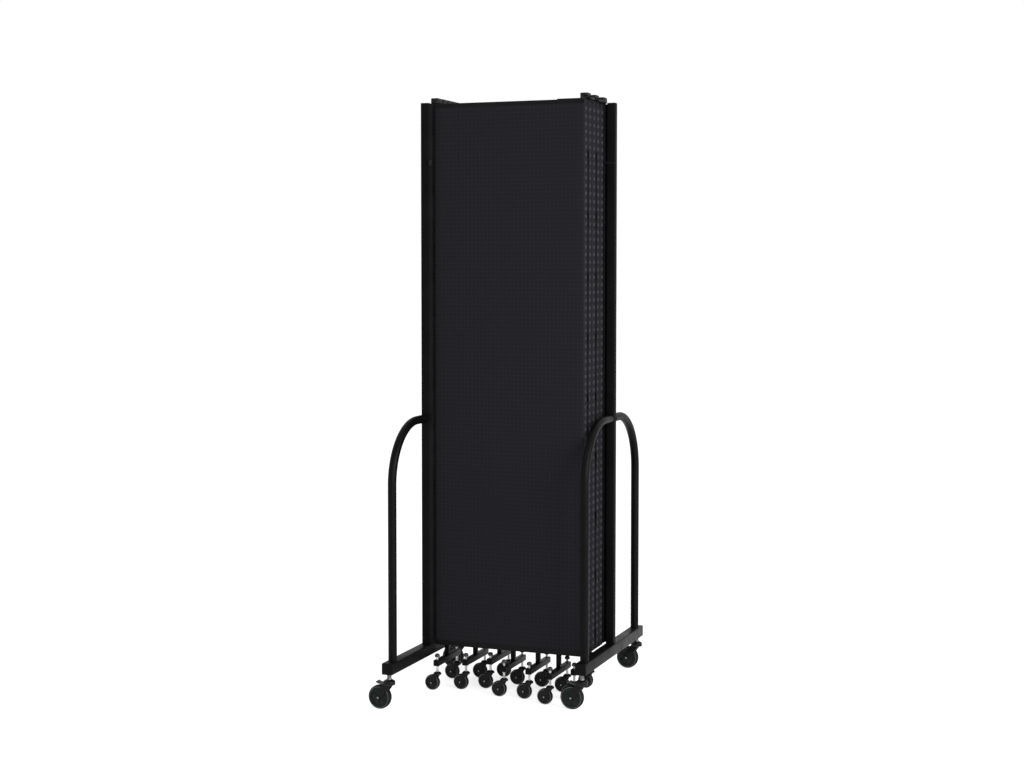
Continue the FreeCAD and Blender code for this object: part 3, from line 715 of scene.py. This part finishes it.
def end_base():
    """Square base tube with plugged ends, and the two steel caster stems under it."""
    x, y = BASE_SIDE / 2, BASE_LONG / 2
    tube = block((-x, -y + PLUG, BASE_HEIGHT), (x, y - PLUG, BASE_TOP), "y", BASE_CORNER, TUBE_EDGE)
    made = [(POWDER, tube)]
    for side in (-1, 1):
        y0, y1 = sorted((side * (y - PLUG), side * y))
        made.append((POWDER, block((-x, y0, BASE_HEIGHT), (x, y1, BASE_TOP), "y", BASE_CORNER, PLUG_EDGE)))
        made.append((STEEL, turned(STEM_LINE, (0, side * STEM_Y, 0), "z", count=24)))
    return made


def end_hoops():
    """Two bent tubes from the base tube up, round a quarter circle and in to the post, with welds."""
    turn = np.linspace(0, np.pi / 2, BEND_STEPS)
    bend_y, bend_z = HOOP_LEG - HOOP_BEND, HOOP_HIGH - HOOP_BEND
    y = np.concatenate([[HOOP_LEG], bend_y + HOOP_BEND * np.cos(turn), [POST_DEEP / 2]])
    z = np.concatenate([[BASE_TOP], bend_z + HOOP_BEND * np.sin(turn), [HOOP_HIGH]])
    weld = circle(WELD_RADIUS, 10) + np.array([HOOP_RADIUS + WELD_OUT, 0.0])
    made = []
    for side in (-1, 1):
        path = np.stack([np.zeros(len(y)), side * y, z], axis=-1)
        made.append((POWDER, carried(circle(HOOP_RADIUS, 28), path, np.array([1.0, 0.0, 0.0]))))
        made.append((POWDER, turned(weld, (0, side * HOOP_LEG, BASE_TOP), "z", count=28, loop=True)))
        made.append((POWDER, turned(weld, (0, side * POST_DEEP / 2, HOOP_HIGH), "y", count=28, loop=True)))
    return made


def end_frame(side, sign):
    """One end frame: post, base tube, hoops and fixings, each set in its place."""
    centre = (joint_place(side + "_front_turn") + joint_place(side + "_back_turn")) / 2 * LEVEL
    for name, node, slot, parts in (
            ("upright", "post", "frame_paint", end_post()),
            ("foot_tube", "base_tube", "frame_paint", end_base()),
            ("loops", "hoops", "frame_paint", end_hoops()),
            ("rivets", "fasteners", "fastener_black", end_fixings())):
        set_there = [(look, half_turned(shape, sign, centre)) for look, shape in parts]
        piece("%s_%s" % (side, name), side + "_end", set_there, ["%s_%s" % (side, node)])


# Casters, worked out about the stem's axis at floor level; all trail towards -X. The two tables are in
# millimetres. A name that ends in SHARE is a share of a larger size of the same caster.

BIG = {"crown": 20.0, "crown_low": 83.0, "crown_high": 95.8, "dome_high": 99.8, "dome_top": 9.0,
       "skirt": 6.8, "leg_in": 14.0, "leg_out": 17.0, "boss": 10.0, "head": 7.5, "head_out": 19.0,
       "tip_out": 19.8, "tyre": 9.0, "shoulder": 4.0}
SMALL = {"crown": 14.0, "crown_low": 55.5, "crown_high": 61.0, "dome_high": 64.5, "dome_top": 7.0,
         "skirt": 2.6, "leg_in": 10.4, "leg_out": 12.6, "boss": 7.0, "head": 5.5, "head_out": 14.6,
         "tip_out": 15.2, "tyre": 7.0, "shoulder": 3.0}
NOTCH = 11.0 * MM
LIP_IN = 0.4 * MM
LIP_UP = 0.2 * MM
LIP_CUT = 0.1 * MM
DOME_DROP = 1.5 * MM
DOME_WIDE_SHARE = 0.72
DOME_RISE_SHARE = 0.7
DOME_CUT_SHARE = 0.14
TOP_CUT_SHARE = 0.12
BRIDGE_HIGH = 0.8 * MM
BRIDGE_IN = 0.4 * MM
RACE_HIGH = 1.8 * MM
RACE_IN = 1.2 * MM
CHEEK_CORNER = 3.0 * MM
CHEEK_SHARE = 0.5
CHEEK_EDGE = 0.7 * MM
NUT_IN = 1.0 * MM
NUT_CORNER = 0.8 * MM
NUT_EDGE = 0.6 * MM
SEAT = 0.4 * MM
TIP_SHARE = 0.42
TIP_EDGE = 0.5 * MM
AXLE_SHARE = 0.5


def sized(table):
    """The same table in metres."""
    return {key: value * MM for key, value in table.items()}


def crown_outline(radius, flat):
    """Circle cut off straight where it passes flat on the -X side."""
    points = circle(radius, 48)
    points[:, 0] = np.maximum(points[:, 0], -flat)
    return points


def caster_yoke(name, size, braked):
    """Fork: a domed crown over a thin race ring, two tapered cheeks, and dark nuts with bright axle tips.

    The crown's skirt of a braked fork is cut off between the cheeks, where the pedal turns."""
    stem = joint_place(name + "_turn") * LEVEL
    hub = joint_place(name + "_roll") - stem
    wide, low, high, top = size["crown"], size["crown_low"], size["crown_high"], size["dome_high"]
    lip = low + size["skirt"]
    flat = NOTCH if braked else wide
    bowl = eased([(wide - LIP_IN, lip), (wide, lip + LIP_UP), (wide, high - DOME_DROP),
                  (wide * DOME_WIDE_SHARE, high + (top - high) * DOME_RISE_SHARE), (size["dome_top"], top)],
                 [0, LIP_CUT, wide * DOME_CUT_SHARE, wide * TOP_CUT_SHARE, 0], steps=6)
    skirt = prism(crown_outline(wide, flat), low + RACE_HIGH, lip, "z")
    race = prism(crown_outline(wide - RACE_IN, flat), low + BRIDGE_HIGH, low + RACE_HIGH, "z")
    bridge = prism(crown_outline(wide - BRIDGE_IN, flat), low, low + BRIDGE_HIGH, "z")
    cheek = [(hub[2], hub[0], size["boss"]), (low, -wide + CHEEK_CORNER, CHEEK_CORNER),
             (low, wide * CHEEK_SHARE - CHEEK_CORNER, CHEEK_CORNER)]
    nut = hexagon(hub[2], hub[0], size["head"] - NUT_IN, NUT_CORNER)
    tip = [(hub[2], hub[0], size["head"] * TIP_SHARE)]
    made = [(FORK, turned(bowl, stem, "z", count=48)), (FORK, shifted(skirt, stem)),
            (STEEL, shifted(race, stem)), (FORK, shifted(bridge, stem))]
    for side in (-1, 1):
        for look, outline, inner, outer, edge, count in (
                (FORK, cheek, size["leg_in"], size["leg_out"], CHEEK_EDGE, 40),
                (FORK, nut, size["leg_out"] - SEAT, size["head_out"], NUT_EDGE, 36),
                (BOLT, tip, size["head_out"] - SEAT, size["tip_out"], TIP_EDGE, 20)):
            y0, y1 = sorted((side * inner, side * outer))
            made.append((look, shifted(slab(outline, y0, y1, "y", edge, count, steps=3), stem)))
    thick = size["boss"] * AXLE_SHARE
    axle = [(thick, -size["leg_in"]), (thick, size["leg_in"])]
    made.append((ZINC, turned(axle, stem + hub, "y", count=20)))
    return made


TYRE_LIP = 0.6 * MM
TYRE_BEVEL = 1.2 * MM
TREAD_DROP = 0.4 * MM
TREAD_SHARE = 0.55
TYRE_CUT = np.array([0.0, 0.5, 1.6, 2.0]) * MM
TREAD_CUT = 3.0 * MM
RING_LINE = np.array([(1.0, -0.4), (0.7, 0.25), (-0.7, 0.25), (-1.0, -0.4)]) * MM
RING_SHARE = 0.86
OTHER_SIDE = np.array([1.0, -1.0])
BORE_SHARE = 0.52
# Times the bore's radius: the hub's boss at its top and foot, and where a rib starts.
BOSS_TOP = 1.9
BOSS_FOOT = 2.0
RIB_FROM = 1.8
BOSS_SUNK = 0.4 * MM
WEB_SHARE = 0.62
RIM_SHARE = 0.09
RIM_SLOPE = 0.6 * MM
RIM_SUNK_IN = 0.9 * MM
RIM_SUNK_OUT = 0.7 * MM
HUB_LAP = 0.4 * MM
HUB_CUT = 0.4 * MM
RIBS = 6
RIB_LAP = 0.5 * MM
RIB_SHARE = 0.035
RIB_SUNK = 1.6 * MM
RIB_EDGE = 0.5 * MM


def mirrored(side, middle):
    """Profile through a side's mirror image, a middle point, and the side itself from its end back."""
    return [(radius, -along) for radius, along in side] + [middle] + side[::-1]


def caster_wheel(name, size, tyre_look, hub_look):
    """Wheel: a crowned tyre with round shoulders, a ring on each face, a ribbed web and a bored hub."""
    centre = joint_place(name + "_roll")
    low, high = box(name + "_wheel")
    radius, half = (high[0] - low[0]) / 2, (high[1] - low[1]) / 2
    inner = radius - size["tyre"]
    bore = size["boss"] * BORE_SHARE
    rim = inner - radius * RIM_SHARE
    web = half * WEB_SHARE
    flank = [(inner, half - TYRE_LIP), (inner + TYRE_BEVEL, half), (radius - size["shoulder"], half),
             (radius - TREAD_DROP, half * TREAD_SHARE)]
    tyre = eased(mirrored(flank, (radius, 0)), [*TYRE_CUT, TREAD_CUT, *TYRE_CUT[::-1]], steps=4)
    made = [(tyre_look, turned(tyre, centre, "y", count=56, loop=True))]
    # A ring on each face, in the ring grey that also carries a painted reflection.
    ring = RING_LINE + np.array([radius * RING_SHARE, half])
    for line in (ring, ring[::-1] * OTHER_SIDE):
        made.append((RIM_RING_AND_GLINT, turned(line, centre, "y", count=56, loop=True)))
    face = [(bore, half - BOSS_SUNK), (bore * BOSS_TOP, half - BOSS_SUNK), (bore * BOSS_FOOT, web),
            (rim, web), (rim + RIM_SLOPE, half - RIM_SUNK_IN), (inner, half - RIM_SUNK_OUT)]
    disc = eased(mirrored(face, (inner + HUB_LAP, 0)), HUB_CUT, steps=3, closed=True)
    made.append((hub_look, turned(disc, centre, "y", count=48, loop=True)))
    deep = half - RIB_SUNK
    for turn in np.arange(RIBS) * (2 * np.pi / RIBS):
        rib = [(reach * np.cos(turn), reach * np.sin(turn), radius * RIB_SHARE)
               for reach in (bore * RIB_FROM, rim + RIB_LAP)]
        bar = slab(rib, -deep, deep, "y", RIB_EDGE, count=12, steps=2)
        made.append((hub_look, shifted(bar, centre)))
    return made


PEDAL_LONG = 28.0 * MM
PEDAL_HALF = 13.4 * MM
PEDAL_THICK = 3.5 * MM
PEDAL_CORNER = 1.2 * MM
PEDAL_LIFT = 6.0 * MM
PEDAL_STEPS = 12
PIVOT_RADIUS = 3.2 * MM
PIVOT_EDGE = 0.6 * MM
GRIP_SHARE = 0.75
GRIP_RADIUS = 0.6 * MM
GRIP_HALF = 0.9 * MM
GRIP_EDGE = 0.4 * MM
GRIP_STEPS = [5, 7, 9]


def brake_pedal(name):
    """Pedal: a plate carried back from its pivot barrel, level at first and then curled up, with grips."""
    pivot = joint_place(name + "_brake_press")
    run = np.linspace(0, 1, PEDAL_STEPS)
    path = np.stack([-PEDAL_LONG * run, np.zeros(PEDAL_STEPS), PEDAL_LIFT * run ** 3], axis=-1) + pivot
    rise = PEDAL_THICK / 2
    section = band(corners((-PEDAL_HALF, -rise), (PEDAL_HALF, rise), PEDAL_CORNER), 24)
    plate = carried(section, path, np.array([0.0, 1.0, 0.0]))
    barrel = turned([(PIVOT_RADIUS - PIVOT_EDGE, -PEDAL_HALF), (PIVOT_RADIUS, -PEDAL_HALF + PIVOT_EDGE),
                     (PIVOT_RADIUS, PEDAL_HALF - PIVOT_EDGE), (PIVOT_RADIUS - PIVOT_EDGE, PEDAL_HALF)],
                    pivot, "y", count=20)
    reach = PEDAL_HALF * GRIP_SHARE
    outline = [(-reach, 0, GRIP_RADIUS), (reach, 0, GRIP_RADIUS)]
    grip = slab(outline, -GRIP_HALF, GRIP_HALF, "x", GRIP_EDGE, count=12, steps=2)
    grips = copies(grip, path[GRIP_STEPS] + np.array([0, 0, rise]))
    return [(PEDAL, plate), (PEDAL, barrel), (PEDAL, grips)]


def casters():
    """Every caster: its fork, its wheel, and a pedal where there is a brake."""
    for joint in sorted(JOINTS):
        if not joint.endswith("_turn"):
            continue
        name = joint[:-len("_turn")]
        small = name.startswith("bar")
        size = sized(SMALL if small else BIG)
        looks = (SMALL_TYRE, SMALL_HUB) if small else (BIG_TYRE, BIG_HUB)
        braked = name + "_brake_press" in JOINTS
        yoke, wheel = caster_yoke(name, size, braked), caster_wheel(name, size, *looks)
        piece(name + "_yoke", name + "_swivel", yoke, [name + "_fork"])
        piece(name + "_tyre", name + "_roller", wheel, [name + "_wheel"])
        if braked:
            pedal = brake_pedal(name)
            piece(name + "_foot_brake", name + "_brake", pedal, [name + "_pedal"])


BAR_SIDE = 20.0 * MM
BAR_LOW = 86.0 * MM
BAR_TOP = BAR_LOW + BAR_SIDE
BAR_CORNER = 2.0 * MM
BAR_EDGE = 0.8 * MM
BAR_POST = 15.0 * MM
BAR_POST_CORNER = 1.6 * MM
BAR_POST_EDGE = 0.2 * MM
BAR_STEM_LINE = np.array([(3.2, 57.0), (4.0, 58.0), (4.0, 117.0), (3.2, 118.0)]) * MM
STEM_CAP_LINE = np.array([(7.6, 116.0), (9.0, 116.8), (9.0, 122.0), (6.0, 127.0), (0.4, 128.0)]) * MM
STEM_CAP_CUT = np.array([0.0, 0.5, 2.6, 3.0, 0.0]) * MM
BAR_NUT = 6.2 * MM
BAR_NUT_CORNER = 0.7 * MM
BAR_NUT_LOW = 83.0 * MM
BAR_NUT_SUNK = 0.2 * MM
BAR_NUT_EDGE = 0.5 * MM


def caster_rack(number):
    """Cross bars under one panel: beam, short post, zinc stems with nuts and domed stem caps."""
    node = "caster_bars_%d" % number
    body = OWNER[node]
    low, high = box(node)
    reach = (high[1] - low[1]) / 2
    h, p = BAR_SIDE / 2, BAR_POST / 2
    made = []
    for joint in sorted(JOINTS):
        of_bar = joint.startswith("bar") and joint.endswith("_front_turn")
        if not of_bar or JOINTS[joint]["parent"] != body:
            continue
        ends = [joint_place(joint.replace("front", end)) * LEVEL for end in ("front", "back")]
        x, y = ((ends[0] + ends[1]) / 2)[:2]
        made.append((POWDER, block((x - h, y - reach, BAR_LOW), (x + h, y + reach, BAR_TOP), "y",
                                   BAR_CORNER, BAR_EDGE)))
        made.append((POWDER, block((x - p, y - p, BAR_TOP), (x + p, y + p, panel_foot(number)), "z",
                                   BAR_POST_CORNER, BAR_POST_EDGE)))
        for end in ends:
            nut = hexagon(end[0], end[1], BAR_NUT, BAR_NUT_CORNER)
            made += [
                (ZINC, turned(BAR_STEM_LINE, end, "z", count=20)),
                (ZINC, slab(nut, BAR_NUT_LOW, BAR_LOW + BAR_NUT_SUNK, "z", BAR_NUT_EDGE, count=36, steps=3)),
                (KNOB, turned(eased(STEM_CAP_LINE, STEM_CAP_CUT), end, "z", count=24))]
    piece("caster_rack_%d" % number, body, made, [node])


# Setting: camera, light, floor

# The picture's width in pixels, and the camera's angles in degrees.
PICTURE_WIDE = 1024
PITCH_DOWN = 2.904
TURN_LEFT = 21.019
SOFT_LIGHT = 0.5
FLOOR_TONE = 0.8
FLOOR_LIFT = 0.7
FLOOR_HALF = 60.0
WHITE = (1, 1, 1, 1)


def camera():
    """Camera where the photograph was taken from, pitched a little down and shifted to its framing."""
    lens = bpy.data.cameras.new("view")
    lens.sensor_width = 36.0
    lens.lens = 59.883
    lens.shift_y = -34.0 / PICTURE_WIDE
    lens.clip_end = 200.0
    eye = bpy.data.objects.new("view", lens)
    eye.location = (2.0992, -5.4586, 1.4690)
    eye.rotation_euler = (math.radians(90 - PITCH_DOWN), 0.0, math.radians(TURN_LEFT))
    bpy.context.scene.collection.objects.link(eye)
    bpy.context.scene.camera = eye


def lamp(name, place, target, wide, high, watts):
    """Soft rectangular lamp at a place, turned to a target."""
    light = bpy.data.lights.new(name, "AREA")
    light.shape = "RECTANGLE"
    light.size = wide
    light.size_y = high
    light.energy = watts
    made = bpy.data.objects.new(name, light)
    aim = np.asarray(target, float) - np.asarray(place, float)
    made.location = place
    made.rotation_euler = (math.atan2(math.hypot(aim[0], aim[1]), -aim[2]), 0.0, math.atan2(-aim[0], aim[1]))
    bpy.context.scene.collection.objects.link(made)


def world():
    """Even soft light; camera, mirror and see-through rays find plain white."""
    made = bpy.data.worlds.new("studio")
    bpy.context.scene.world = made
    made.use_nodes = True
    tree = made.node_tree
    tree.nodes.clear()
    rays = add(tree, "ShaderNodeLightPath").outputs
    seen = sums(tree, "MAXIMUM", sums(tree, "MAXIMUM", rays["Is Camera Ray"], rays["Is Glossy Ray"]),
                rays["Is Transmission Ray"])
    soft = add(tree, "ShaderNodeBackground", {"Color": WHITE, "Strength": SOFT_LIGHT})
    white = add(tree, "ShaderNodeBackground", {"Color": WHITE, "Strength": 1.0})
    both = add(tree, "ShaderNodeMixShader", {0: seen, 1: soft.outputs[0], 2: white.outputs[0]})
    add(tree, "ShaderNodeOutputWorld", {"Surface": both.outputs[0]})


def floor():
    """Wide pale floor that keeps the shadow; camera and mirror rays see it lifted to white."""
    made = bpy.data.materials.new("pale_floor")
    made.use_nodes = True
    tree = made.node_tree
    tree.nodes.clear()
    rays = add(tree, "ShaderNodeLightPath").outputs
    seen = sums(tree, "MAXIMUM", rays["Is Camera Ray"], rays["Is Glossy Ray"])
    pale = add(tree, "ShaderNodeBsdfDiffuse", {"Color": (FLOOR_TONE, FLOOR_TONE, FLOOR_TONE, 1)})
    lift = add(tree, "ShaderNodeEmission",
               {"Color": WHITE, "Strength": sums(tree, "MULTIPLY", seen, FLOOR_LIFT)})
    both = add(tree, "ShaderNodeAddShader", {0: pale.outputs[0], 1: lift.outputs[0]})
    add(tree, "ShaderNodeOutputMaterial", {"Surface": both.outputs[0]})
    half = FLOOR_HALF
    square = [(-half, -half, 0), (half, -half, 0), (half, half, 0), (-half, half, 0)]
    mesh = bpy.data.meshes.new("floor")
    mesh.from_pydata(square, [], [(0, 1, 2, 3)])
    mesh.materials.append(made)
    plane = bpy.data.objects.new("floor", mesh)
    bpy.context.scene.collection.objects.link(plane)


for panel in range(1, PANELS + 1):
    cloth_board(panel)
    edge_ticks(panel)
    rails(panel)
    corner_caps(panel)
    edge_hinges(panel)
for panel in range(1, PANELS):
    caster_rack(panel)
end_frame("left", 1.0)
end_frame("right", -1.0)
casters()
camera()
world()
floor()
lamp("key", (4.4, -1.6, 2.4), (0.0, 0.0, 1.0), wide=2.6, high=3.0, watts=190.0)
lamp("fill", (2.6, -4.6, 2.6), (0.0, 0.0, 1.0), wide=3.0, high=2.5, watts=70.0)
bpy.context.scene.view_settings.view_transform = "Standard"
